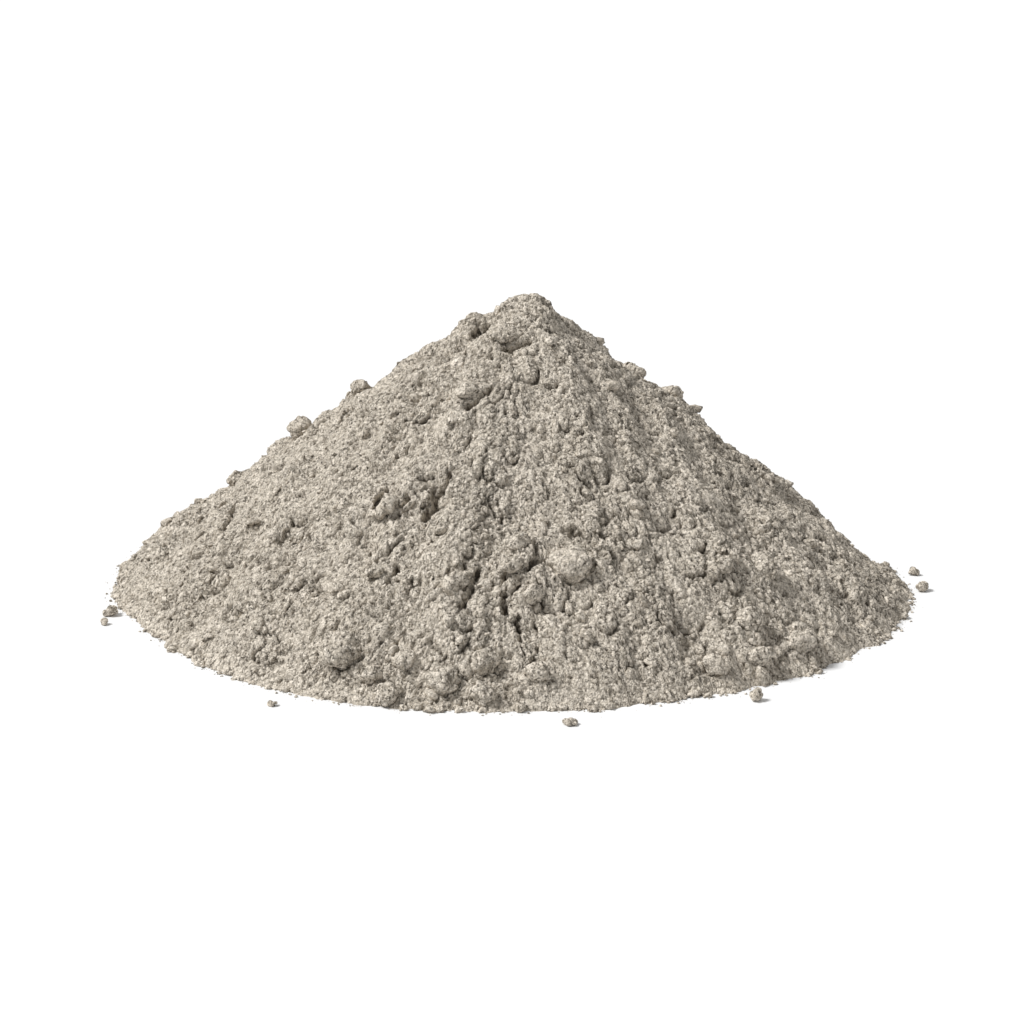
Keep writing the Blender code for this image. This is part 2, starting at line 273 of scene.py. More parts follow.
def powder_material(name, paleness, hollow_shade_share, relief):
    """Dry powder, with painted shade in its hollows, undercuts, pits, pores and the gaps between its
    grains. Paleness shifts its tone, hollow_shade_share says how far a hollow of the mesh is darkened by
    painted shade.
    """
    material = bpy.data.materials.new(name)
    material.use_nodes = True
    tree = material.node_tree
    shader = tree.nodes["Principled BSDF"]
    shader.inputs["Roughness"].default_value = 1.0
    shader.inputs["Specular IOR Level"].default_value = DUST_GLOSS
    start = Wire(tree)
    place = start.node("ShaderNodeTexCoord", output="Object")
    tint = start.node("ShaderNodeAttribute", {"attribute_name": "tint"}, output="Fac")
    hollow = start.node("ShaderNodeAttribute", {"attribute_name": "hollow"}, output="Fac")

    # lumps, pits and pores are drawn out down the slope, and sand and its clots are not
    loose = stirred(place, *STIR)
    lumps = drawn_out(loose, 1.4, lambda at: half_buried(at, LUMP_SIZE, 0.8))
    pits = drawn_out(loose, 1.5, lambda at: noise(at, PIT_SIZE, 3, 0.65)).between(0.13, 0.25)
    pores = drawn_out(loose, 1.6, lambda at: noise(at, PORE_SIZE, 3, 0.72)).between(0.07, 0.14)
    sand_tone, from_sand = grains_of(loose, SAND_SIZE)
    clot_tone, from_clot = grains_of(loose, CLOT_SIZE)
    grit = noise(loose, GRIT_SIZE, 3, 0.65)

    drifts, patches = noise(place, DRIFT_SIZE, 3), noise(place, PATCH_SIZE, 3, 0.6)
    tone = MEAN_TONE + paleness + drifts * 0.30 + patches * 0.40
    tone = tone + grit * 0.8 + sand_tone * 0.5 + clot_tone * 0.22 + tint
    colour = tone.node(
        "ShaderNodeValToRGB",
        {"stops": [(0.0, DARK_POWDER), (0.5, MID_POWDER), (1.0, PALE_POWDER)]},
        {"Fac": tone},
    )

    # painted shade: hollows, undercuts, pits, pores and the gaps between grains are darkened towards the
    # shade colour, and the darkest of them counts
    undercut = (lumps * -1).between(0.06, 0.26)
    gap_shade = from_sand.between(0.5, 0.85) * 0.55 + from_clot.between(0.55, 0.9) * 0.65
    painted_shade = hollow * hollow_shade_share
    for other in (undercut * 0.6, pits * 0.85, pores * 0.82, gap_shade * 0.7):
        painted_shade = painted_shade.math("MAXIMUM", painted_shade, other)
    colour = mixed("RGBA", painted_shade, colour, PAINTED_SHADE_COLOUR)

    height = lumps * 0.5 + grit * 1.4 - from_sand * 0.5 - from_clot * 0.8 - pores * 0.7 - pits * 0.9
    bump = height.node("ShaderNodeBump", None, {"Strength": 1.0, "Distance": relief, "Height": height})
    tree.links.new(colour.socket, shader.inputs["Base Color"])
    tree.links.new(bump.socket, shader.inputs["Normal"])
    return material


# The heap: one loose mass, tipped out and left at the slope it takes by itself. Its skin is drawn anew
# over the plain solid, fine enough to show half-buried lumps, the crevices between them and pits. It
# comes in four quarters that meet edge to edge, each closed below and at its sides.


def group_input(tree, name, kind, value=None):
    """Adds a named input to a tree, and returns its wire."""
    socket = tree.interface.new_socket(name, in_out="INPUT", socket_type=kind)
    if value is not None:
        socket.default_value = value
    there = [node for node in tree.nodes if node.type == "GROUP_INPUT"]
    node = there[0] if there else tree.nodes.new("NodeGroupInput")
    return Wire(tree, node.outputs[name])


def geometry_tree(name):
    """A new tree that takes a mesh and gives one back, and the wire of the mesh that it takes."""
    tree = bpy.data.node_groups.new(name, "GeometryNodeTree")
    tree.interface.new_socket("Geometry", in_out="OUTPUT", socket_type="NodeSocketGeometry")
    return tree, group_input(tree, "Geometry", "NodeSocketGeometry")


def end_tree(geometry, material):
    """Ends a tree in one mesh that wears the material."""
    real = geometry.node("GeometryNodeRealizeInstances", None, {0: geometry})
    smooth = real.node("GeometryNodeSetShadeSmooth", None, {0: real})
    dressed = smooth.node("GeometryNodeSetMaterial", None, {"Geometry": smooth, "Material": material})
    output = dressed.tree.nodes.new("NodeGroupOutput")
    dressed.tree.links.new(dressed.socket, output.inputs[0])


def run_tree(obj, tree, **values):
    """Gives obj the mesh that a tree makes of it, as a plain mesh with no modifier."""
    modifier = obj.modifiers.new(tree.name, "NODES")
    modifier.node_group = tree
    for item in tree.interface.items_tree:
        key = item.name.lower().replace(" ", "_")
        if item.in_out == "INPUT" and key in values:
            modifier[item.identifier] = values[key]
    depsgraph = bpy.context.evaluated_depsgraph_get()
    mesh = bpy.data.meshes.new_from_object(obj.evaluated_get(depsgraph), depsgraph=depsgraph)
    obj.modifiers.remove(modifier)
    obj.data = mesh
    mesh.name = obj.name
    return obj


def new_object(name, mesh):
    """Puts a mesh into the scene, at the origin."""
    made = bpy.data.objects.new(name, mesh)
    bpy.context.scene.collection.objects.link(made)
    return made


def merged_copy(node, name):
    """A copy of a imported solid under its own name, with its loose triangles joined."""
    mesh = frame["nodes"][node].data.copy()
    mesh.materials.clear()
    bm = bmesh.new()
    bm.from_mesh(mesh)
    bmesh.ops.remove_doubles(bm, verts=bm.verts, dist=0.01 * MM)
    bm.to_mesh(mesh)
    bm.free()
    return new_object(name, mesh)


def piece_on(obj, slot_name, *nodes):
    """Ties a finished piece to the model."""
    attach(obj, "root")
    if nodes:
        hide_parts(*nodes)
    return obj


def stored(geometry, name, value, domain="POINT", kind="FLOAT"):
    """Keeps a value on a mesh, under a name."""
    return geometry.node(
        "GeometryNodeStoreNamedAttribute",
        {"data_type": kind, "domain": domain},
        {"Geometry": geometry, "Name": name, "Value": value},
    )


def read_back(wire, name):
    """A number that was stored on the mesh."""
    return wire.node("GeometryNodeInputNamedAttribute", {"data_type": "FLOAT"}, {"Name": name})


def blurred(value, rounds, kind="FLOAT"):
    """A value of the mesh evened out with its neighbours, so many times."""
    sockets = {"Value": value, "Iterations": rounds, "Weight": 1.0}
    return value.node("GeometryNodeBlurAttribute", {"data_type": kind}, sockets)


def moved_to(geometry, place):
    """Puts each point of a mesh at a place."""
    return geometry.node("GeometryNodeSetPosition", None, {"Geometry": geometry, "Position": place})


def moved_by(geometry, way):
    """Shifts each point of a mesh by a vector."""
    return geometry.node("GeometryNodeSetPosition", None, {"Geometry": geometry, "Offset": way})


def above_floor(geometry, least=0.0):
    """Makes instances real and lifts what would lie under the floor on to it."""
    real = geometry.node("GeometryNodeRealizeInstances", None, {0: geometry})
    place = real.node("GeometryNodeInputPosition")
    height = place.math("MAXIMUM", place.part(2), least)
    return moved_to(real, place.combined(place.part(0), place.part(1), height))


def gathered(pieces):
    """The pieces of a collection as one mesh."""
    inside = pieces.node("GeometryNodeCollectionInfo", None, {"Collection": pieces})
    return inside.node("GeometryNodeRealizeInstances", None, {0: inside})


def distance_to(shape, element, place=None):
    """How far the nearest face, edge or point of a shape is from a place, or from the mesh's own points."""
    sockets = {"Geometry": shape}
    if place is not None:
        sockets["Sample Position"] = place
    return shape.node("GeometryNodeProximity", {"target_element": element}, sockets, output="Distance")


ABOVE_ALL = 0.5


def distance_along(target, source, direction):
    """How far a ray from source runs before it meets the target."""
    return target.node(
        "GeometryNodeRaycast",
        {"data_type": "FLOAT"},
        {
            "Target Geometry": target,
            "Source Position": source,
            "Ray Direction": direction,
            "Ray Length": ABOVE_ALL,
        },
        output="Hit Distance",
    )


SKIN_CELLS = 528
QUARTER_TURN = math.pi / 2
# the line of the foot is taken just above the floor, and the heights of the skin just inside that line
FOOT_LEVEL = 0.4 * MM
JUST_INSIDE = 0.9985
# a point with a larger share than this lies on the rim
RIM_SHARE = 0.9999
# the ragged outline is read from noise along a circle of this radius, in metres
RAGGED_CIRCLE = 0.28
# the larger, the faster it fades up the slope
RAGGED_FADE = 10


def round_grid(plain):
    """A square grid wrapped to a disc and laid over the plain solid, with cells of one size.

    It stores share, 0 at the middle of the heap and 1 at the foot, and the number of each quarter."""
    grid = plain.node(
        "GeometryNodeMeshGrid",
        None,
        {"Size X": 2.0, "Size Y": 2.0, "Vertices X": SKIN_CELLS + 1, "Vertices Y": SKIN_CELLS + 1},
    )
    square = plain.node("GeometryNodeInputPosition")
    u, v = square.part(0), square.part(1)
    u_size, v_size = u.math("ABSOLUTE", u), v.math("ABSOLUTE", v)
    share = u.math("MAXIMUM", u_size, v_size)
    turn = u.math("MINIMUM", u_size, v_size) / u.math("MAXIMUM", share, 1e-6) * (math.pi / 4)
    long_way, short_way = share * turn.math("COSINE", turn), share * turn.math("SINE", turn)
    wide = u.math("GREATER_THAN", u_size, v_size)
    x = u.math("SIGN", u) * (wide * long_way + (1 - wide) * short_way)
    y = v.math("SIGN", v) * (wide * short_way + (1 - wide) * long_way)
    spread = x.combined(x, y).turned(QUARTER_TURN / 2)
    outward = spread.vector("NORMALIZE", spread)

    # the foot is where a level ray from outside meets the solid
    outside = outward.vector("ADD", outward.scaled(ABOVE_ALL), (0, 0, FOOT_LEVEL))
    foot_radius = ABOVE_ALL - distance_along(plain, outside, outward.scaled(-1.0))
    circle = outward.scaled(RAGGED_CIRCLE)
    ragged = noise(circle, 26 * MM, 1) * 13 * MM + noise(circle, 8 * MM, 2) * 9 * MM
    plan = outward.scaled(share * (foot_radius + ragged * share**RAGGED_FADE))

    # the height is where a plumb ray meets the solid, and the rim lies on the floor
    inner = outward.scaled(share * foot_radius * JUST_INSIDE)
    fall = distance_along(plain, inner.vector("ADD", inner, (0, 0, ABOVE_ALL)), (0, 0, -1))
    height = (ABOVE_ALL - fall) * (1 - share.math("GREATER_THAN", share, RIM_SHARE))

    left, near = u.math("LESS_THAN", u, 0.0), v.math("LESS_THAN", v, 0.0)
    marked = stored(grid, "quarter", near * (3 - left) + (1 - near) * left, "FACE")
    marked = stored(marked, "share", share)
    return moved_to(marked, plan.combined(plan.part(0), plan.part(1), height))


FACET_BLUR = 30


def without_facets(surface):
    """Rounds off the facets of the plain solid, but leaves the line of the foot as it is."""
    place = surface.node("GeometryNodeInputPosition")
    share = read_back(place, "share")
    softened = blurred(place, FACET_BLUR, "FLOAT_VECTOR")
    return moved_to(surface, mixed("VECTOR", 1 - share.between(0.985, 1.0), place, softened))


def buried_lumps(loose, lumpy):
    """Lumps of five sizes: how high the highest stands at each point, and how deep the undercuts are.

    Each counts only where it stands above the others, so that sharp creases are left between them."""
    lumps, undercuts = 0.0, 0.0
    for apart, stretch, kept, roundness in (
        (23 * MM, 1.5, 0.40 * lumpy, 0.55),
        (15 * MM, 1.7, 0.60 * lumpy, 0.86),
        (9.5 * MM, 1.6, 0.30 + 0.35 * lumpy, 1.0),
        (6.0 * MM, 1.5, 0.72, 1.1),
        (3.8 * MM, 1.3, 0.85, 1.15),
    ):
        stand = drawn_out(loose, stretch, lambda at: half_buried(at, apart, kept)) * (apart * roundness)
        lumps, undercuts = stand.math("MAXIMUM", stand, lumps), stand.math("MINIMUM", stand, undercuts)
    return lumps, undercuts


def hollow_shade_of(rise):
    """Painted shade: 0 on open ground and 1 deep in a crease or a hollow, by how far it lies below its
    surroundings.
    """
    crease_shade = (blurred(rise, 2) - rise).between(0.12 * MM, 0.70 * MM) * 0.8
    broad_hollow_shade = (blurred(rise, 8) - rise).between(0.25 * MM, 2.1 * MM)
    return crease_shade.math("MAXIMUM", crease_shade, broad_hollow_shade)


MAP_NAME = "OFBake"
MAP_REACH = 0.33
MAP_MARGIN = 0.02


def mapped_from_above(surface):
    """Gives each quarter its own plan, turned square, as the map that it is painted through."""
    place = surface.node("GeometryNodeInputPosition")
    turned = place.turned((read_back(place, "quarter") + 0.5) * -QUARTER_TURN)
    plan = turned.vector("ADD", turned.scaled(1 / MAP_REACH), (MAP_MARGIN, MAP_MARGIN, 0))
    return stored(surface, MAP_NAME, plan, "CORNER", "FLOAT2")


# how wide the skin is stirred and how far, coarsely and then finely
WIDE_STIR, FINE_STIR = (14 * MM, 7 * MM), (4 * MM, 2.2 * MM)
# how far apart its features lie, some with their stretch down the slope or their height as a share of that
LUMPY_PATCHES = 46 * MM
RIB_SPACING, RIB_STRETCH = 13 * MM, 3.0
HOLE_SPACING, HOLE_STRETCH = 6.5 * MM, 1.5
GRAIN_SIZE, GRAIN_HEIGHT = 2.9 * MM, 0.42
FINE_SIZE = 2.4 * MM
BANK_REACH, BANK_HEIGHT_MM = 7 * MM, 2.6
LOBE_HEIGHT = 0.36
# the mean of all that rises, which is taken off, so that the skin lies where the solid does
MEAN_RISE = 1.1 * MM
# nothing of the skin but its rim lies lower than this
LEAST_HEIGHT = 0.25 * MM


def skin_tree(material):
    """The loose surface: lumps half buried in one another, with ribs, crevices and pits among them."""
    tree, plain = geometry_tree("powder skin")
    clods = group_input(tree, "Clods", "NodeSocketCollection")
    lump_height = group_input(tree, "Lump height", "NodeSocketFloat", 0.46)
    rib_height = group_input(tree, "Rib height", "NodeSocketFloat", 9.5 * MM)
    fine_height = group_input(tree, "Fine height", "NodeSocketFloat", 2.2 * MM)
    undercut_depth = group_input(tree, "Undercut depth", "NodeSocketFloat", 0.85)
    pit_depth = group_input(tree, "Pit depth", "NodeSocketFloat", 1.6 * MM)
    hollows = group_input(tree, "Hollows", "NodeSocketObject")
    hollow_width = group_input(tree, "Hollow width", "NodeSocketFloat", 3.0 * MM)
    hollow_depth = group_input(tree, "Hollow depth", "NodeSocketFloat", 7.0 * MM)
    lobes = group_input(tree, "Lobes", "NodeSocketObject")
    lobe_size = group_input(tree, "Lobe size", "NodeSocketFloat", 11.0 * MM)

    surface = without_facets(round_grid(plain))
    place = surface.node("GeometryNodeInputPosition")
    share = read_back(place, "share")
    loose = stirred(stirred(place, *WIDE_STIR), *FINE_STIR)

    # larger lumps lie in patches, and more of them low down, where they have rolled to
    patches = noise(place, LUMPY_PATCHES, 2).between(-0.14, 0.12)
    lumpy = patches.math("MAXIMUM", patches * 0.75 + 0.25, share.between(0.5, 0.85) * 0.85)
    lumps, undercuts = buried_lumps(loose, lumpy)
    grains = half_buried(loose, GRAIN_SIZE, 0.9) * GRAIN_SIZE
    fine = noise(place, FINE_SIZE, 2, 0.7)
    ribs = drawn_out(place, RIB_STRETCH, lambda at: noise(at, RIB_SPACING, 2, 0.6))
    pits = drawn_out(loose, HOLE_STRETCH, lambda at: noise(at, HOLE_SPACING, 3, 0.6)).between(0.10, 0.22)

    # powder is banked up against the clods here and there; drawn hollows and lobes are given by their plan
    to_clod = distance_to(gathered(clods), "FACES")
    banked = (1 - to_clod.between(0.5 * MM, BANK_REACH)) * noise(place, 14 * MM, 1).between(-0.25, 0.1)
    plan = loose.vector("MULTIPLY", loose, (1, 1, 0))
    cracks = hollows.node("GeometryNodeObjectInfo", None, {"Object": hollows}, output="Geometry")
    to_crack = distance_to(cracks, "EDGES", plan)
    sunk = 1 - (to_crack / hollow_width + noise(place, 5 * MM, 2) * 2.0).between(0.25, 1.0)
    marks = lobes.node("GeometryNodeObjectInfo", None, {"Object": lobes}, output="Geometry")
    lobe = 1 - distance_to(marks, "POINTS", plan).between(0.25 * lobe_size, lobe_size)

    rise = lumps * lump_height + grains * GRAIN_HEIGHT + fine * fine_height + ribs * rib_height
    rise = rise + undercuts * undercut_depth - pits * pit_depth - sunk * hollow_depth - MEAN_RISE
    rise = rise + banked * BANK_HEIGHT_MM * MM + lobe * lobe_size * LOBE_HEIGHT
    raised = stored(surface, "rise", rise * (1 - share.between(0.975, 1.0) * 0.7))
    rise = read_back(place, "rise")
    # painted shade in creases and hollows, which the material darkens the colour by
    marked = stored(raised, "hollow", hollow_shade_of(rise) * (1 - share.between(0.97, 0.995) * 0.8))

    # the rise runs out from the slope, but straight up at the foot, so that nothing hangs over the floor
    normal = surface.node("GeometryNodeInputNormal")
    level = normal.vector("MULTIPLY", normal, (1, 1, 0))
    direction = normal.vector("SUBTRACT", normal, level.scaled(share.between(0.93, 0.985)))
    moved = above_floor(moved_by(marked, direction.scaled(rise)), LEAST_HEIGHT)
    end_tree(mapped_from_above(moved), material)
    return tree


# deep cracks and undercut edges in the front of the heap, each from one point of the plan to another
FRONT_HOLLOWS_MM = [
    ((-38, -131), (-57, -147)),
    ((-10, -74), (-28, -90)),
    ((-12, -12), (-23, -13)),
    ((13, -36), (-2, -38)),
    ((-19, -189), (-29, -217)),
    ((-70, -134), (-75, -145)),
    ((-74, -179), (-80, -191)),
    ((26, -186), (15, -200)),
    ((-1, -206), (-2, -218)),
    ((8, -222), (10, -230)),
    ((50, -166), (39, -162)),
    ((66, -166), (72, -179)),
    ((-197, -18), (-204, -45)),
    ((-84, -124), (-90, -135)),
    ((-98, -236), (-109, -236)),
    ((189, -21), (177, -16)),
    ((225, -3), (232, -47)),
    ((2, -193), (-4, -200)),
]
# small lobes that break the outline of the crown, as points of the plan
CROWN_LOBES_MM = [(-24, 0), (-29, 5), (-1, -3), (27, -12)]

powder = powder_material("dry_powder", 0.0, 0.88, 1.3 * MM)
bedded = bpy.data.collections.new("bedded_clods")
bpy.context.scene.collection.children.link(bedded)
for node in sorted(frame["nodes"]):
    if node.startswith("clod"):
        target = merged_copy(node, "target_" + node)
        bpy.context.scene.collection.objects.unlink(target)
        bedded.objects.link(target)
bm = bmesh.new()
for start, end in FRONT_HOLLOWS_MM:
    bm.edges.new([bm.verts.new((x * MM, y * MM, 0)) for x, y in (start, end)])
drawn_hollows = new_object("drawn_hollows", bpy.data.meshes.new("drawn_hollows"))
bm.to_mesh(drawn_hollows.data)
bm.free()
lobe_marks = new_object("lobe_marks", bpy.data.meshes.new("lobe_marks"))
lobe_marks.data.from_pydata([(x * MM, y * MM, 0) for x, y in CROWN_LOBES_MM], [], [])
skin = run_tree(
    merged_copy("powder_heap", "whole_skin"),
    skin_tree(powder),
    clods=bedded,
    hollows=drawn_hollows,
    lobes=lobe_marks,
)
for helper in [drawn_hollows, lobe_marks, *bedded.objects]:
    bpy.data.objects.remove(helper)
bpy.data.collections.remove(bedded)


def boundary_from(start):
    """The vertices along an open edge of a surface, once round from the one that is given."""
    walked, last = [start], None
    while True:
        here = walked[-1]
        step = next(edge for edge in here.link_edges if edge.is_boundary and edge is not last)
        last = step
        if step.other_vert(here) is start:
            return walked
        walked.append(step.other_vert(here))


# how far below the skin its hidden sides begin, or at least at which share of its height
SIDE_DROP = 14 * MM
LEAST_SIDE_SHARE = 0.3
# where on the map the hidden faces lie, how small, and how far apart
SPARE_CORNER, SPARE_SCALE = 0.79, 0.095
SPARE_STEP = SPARE_SCALE * 1.1


def quarter_of(skin, quarter, name):
    """One quarter of the skin, closed by two hidden sides and a flat underside."""
    bm = bmesh.new()
    bm.from_mesh(skin.data)
    of_quarter, of_share = bm.faces.layers.float["quarter"], bm.verts.layers.float["share"]
    others = [face for face in bm.faces if round(face[of_quarter]) != quarter]
    bmesh.ops.delete(bm, geom=others, context="FACES")
    middle = min(bm.verts, key=lambda vert: vert[of_share])
    round_edge = boundary_from(middle)
    foot = [index for index, vert in enumerate(round_edge) if vert[of_share] > RIM_SHARE]
    for index in foot:
        round_edge[index].co.z = 0.0
    for edge in bm.edges:
        edge.smooth = not edge.is_boundary

    # each side drops from the skin to an even plane well below it, so that nothing of it shows
    below = bm.verts.new((middle.co.x, middle.co.y, 0.0))
    under_middle = bm.verts.new(middle.co - Vector((0, 0, SIDE_DROP)))
    sides = []
    for side in (round_edge[: foot[0] + 1], [middle, *reversed(round_edge[foot[-1] :])]):
        along = (side[-1].co - middle.co).xy.normalized()
        under = [under_middle]
        for vert in side[1:-1]:
            spot = middle.co.xy + along * (vert.co - middle.co).xy.dot(along)
            height = max(vert.co.z - SIDE_DROP, vert.co.z * LEAST_SIDE_SHARE)
            under.append(bm.verts.new((spot.x, spot.y, height)))
        under.append(side[-1])
        strips = list(zip(side, side[1:], under[1:], under))
        strips[-1] = (side[-2], side[-1], under[-2])
        sides.append([*strips, [*under, below]])

    # the closing faces are mapped small, in the corner of the map that the round skin leaves free
    of_map = bm.loops.layers.uv[MAP_NAME]
    turn = Matrix.Rotation(-(quarter + 0.5) * QUARTER_TURN, 3, "Z")
    outline = round_edge[foot[0] : foot[-1] + 1]
    underside = [(below, *pair) for pair in zip(outline, outline[1:])]
    for number, group in enumerate((*sides, underside)):
        spare = Vector((SPARE_CORNER, SPARE_CORNER)) + Vector((number // 2, number % 2)) * SPARE_STEP
        for corners in group:
            face = bm.faces.new(corners)
            for loop in face.loops:
                place = turn @ loop.vert.co
                flat = place.xy if group is underside else (max(place.x, place.y), place.z)
                loop[of_map].uv = spare + Vector(flat) / MAP_REACH * SPARE_SCALE
            if len(corners) > 4:  # the one large face of a side
                bmesh.ops.triangulate(bm, faces=[face])
    bmesh.ops.recalc_face_normals(bm, faces=bm.faces)
    made = new_object(name, bpy.data.meshes.new(name))
    bm.to_mesh(made.data)
    bm.free()
    made.data.materials.append(powder)
    piece_on(made, "render_powder", "powder_heap")


for number, side in enumerate(("back", "left", "front", "right")):
    quarter_of(skin, number, "heap_" + side)

# the line of the foot, point by point: azimuth, x and y
share_of = skin.data.attributes["share"].data
foot_line = sorted(
    (math.atan2(vert.co.y, vert.co.x), vert.co.x, vert.co.y)
    for vert in skin.data.vertices
    if share_of[vert.index].value > RIM_SHARE
)


# Clods: powder pressed into lumps in the bag and broken up as it was tipped. They are firm enough to
# keep their edges, and coated with the same granules. Each one lies in its own hollow of the heap or
# loose on the floor.

# a clod larger than this is cut once finer
BIG_CLOD = 25 * MM
# knobs go by the clod's own size, and clumps and granules by theirs
KNOBS_ACROSS = 2.2
KNOB_MEAN, KNOB_HEIGHT = 0.42, 0.15
CLUMP_SIZE, CLUMP_HEIGHT = 6.5 * MM, 0.34
GRANULE_SIZE, GRANULE_HEIGHT = 3.6 * MM, 0.30
FINE_HEIGHT_MM = 1.2
PIT_DEPTH_MM = 1.2
clod_powder = powder_material("dry_clods", 0.03, 0.80, 1.2 * MM)


def clod_tree(material):
    """Roughens a plain lump: knobs of its own size, then the same clumps, granules and pits as the heap."""
    tree, plain = geometry_tree("clod skin")
    size = group_input(tree, "Size", "NodeSocketFloat", 20 * MM)
    levels = group_input(tree, "Levels", "NodeSocketInt", 2)
    form = plain.node("GeometryNodeSubdivisionSurface", None, {"Mesh": plain, "Level": levels})
    place = form.node("GeometryNodeInputPosition")
    loose = stirred(place, 4 * MM, 2.4 * MM)
    knobs = place.node(
        "ShaderNodeTexNoise",
        None,
        {"Vector": place, "Scale": KNOBS_ACROSS / size, "Detail": 2.0, "Roughness": 0.55},
    )
    clumps = half_buried(loose, CLUMP_SIZE, 0.8) * CLUMP_SIZE
    granules = half_buried(loose, GRANULE_SIZE, 0.85) * GRANULE_SIZE
    fine = noise(place, 2.2 * MM, 2, 0.7)
    pits = noise(loose, 5 * MM, 3, 0.6).between(0.12, 0.24)
    rise = (knobs - KNOB_MEAN) * size * KNOB_HEIGHT + clumps * CLUMP_HEIGHT + granules * GRANULE_HEIGHT
    raised = stored(form, "rise", rise + fine * FINE_HEIGHT_MM * MM - pits * PIT_DEPTH_MM * MM)
    rise = read_back(place, "rise")
    # painted shade in the clod's hollows, by how far each point lies below its surroundings
    marked = stored(raised, "hollow", (blurred(rise, 6) - rise).between(0.25 * MM, 2.0 * MM))
    normal = form.node("GeometryNodeInputNormal")
    end_tree(above_floor(moved_by(marked, normal.scaled(rise))), material)
    return tree


clod_skin = clod_tree(clod_powder)
clods = []
for node in sorted(frame["nodes"]):
    if node == "powder_heap":
        continue
    low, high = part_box(node)
    across = max(high - low)
    clod = merged_copy(node, "lump_of_" + node)
    run_tree(clod, clod_skin, size=across, levels=3 if across > BIG_CLOD else 2)
    clods.append(piece_on(clod, "render_clod", node))


# Granules: the powder's own crumbs, lying on the skin and on the clods where they stopped rolling. They
# are flaky, lie along the slope and are sunk by half in the powder. They come in two grades, each a
# piece of its own.

CRUMB_SHAPES = 8
CRUMB_BREAKAGE = 2.4


def crumb_shapes(wire, fineness):
    """A set of broken, flattened crumbs round the origin, one across, as instances to pick from."""
    shapes = wire.node("GeometryNodeJoinGeometry")
    for index in range(CRUMB_SHAPES):
        ball = wire.node("GeometryNodeMeshIcoSphere", None, {"Radius": 0.5, "Subdivisions": fineness})
        place = ball.node("GeometryNodeInputPosition")
        # each is broken by another stretch of the same noise
        shifted = place.vector("ADD", place, (index * 3.7, index * 1.9, 0.5))
        pushed = moved_by(ball, place.scaled(noise(shifted, 0.5, 2) * CRUMB_BREAKAGE))
        one = pushed.node("GeometryNodeGeometryToInstance", None, {0: pushed})
        wire.tree.links.new(one.socket, shapes.socket.node.inputs[0])
    return shapes


def by_lot(seed, low, high, kind="FLOAT"):
    """A random value between two others, anew for each crumb."""
    first, output = {"FLOAT_VECTOR": (0, 0), "FLOAT": (2, 1), "INT": (4, 2)}[kind]
    sockets = {first: low, first + 1: high, "Seed": seed}
    return seed.node("FunctionNodeRandomValue", {"data_type": kind}, sockets, output)


def scattered(ground, density, seed):
    """Points strewn at random over a mesh."""
    return ground.node(
        "GeometryNodeDistributePointsOnFaces",
        {"distribute_method": "RANDOM"},
        {"Mesh": ground, "Density": density, "Seed": seed},
    )


def laid(points, fineness, lot, turn, scale):
    """Lays a crumb, picked by lot from the set, at each point."""
    return points.node(
        "GeometryNodeInstanceOnPoints",
        None,
        {
            "Points": points,
            "Instance": crumb_shapes(points, fineness),
            "Pick Instance": True,
            "Instance Index": by_lot(lot, 0, CRUMB_SHAPES - 1, "INT"),
            "Rotation": turn,
            "Scale": scale,
        },
    )


# a face whose normal points up by more than this can hold crumbs
UPPER_SIDE = 0.05
# how closely a crumb follows the slope, how high it sits unsunk, and what share of the painted shade of its
# hollow it takes on
ALONG_SLOPE = 0.8
BEDDING = 0.42
CRUMB_HOLLOW_SHADE = 0.45
# the higher, the fewer are large
SMALL_ONES = 2.0
CRUMB_DRIFTS = 28 * MM
LOT_STEP = 13


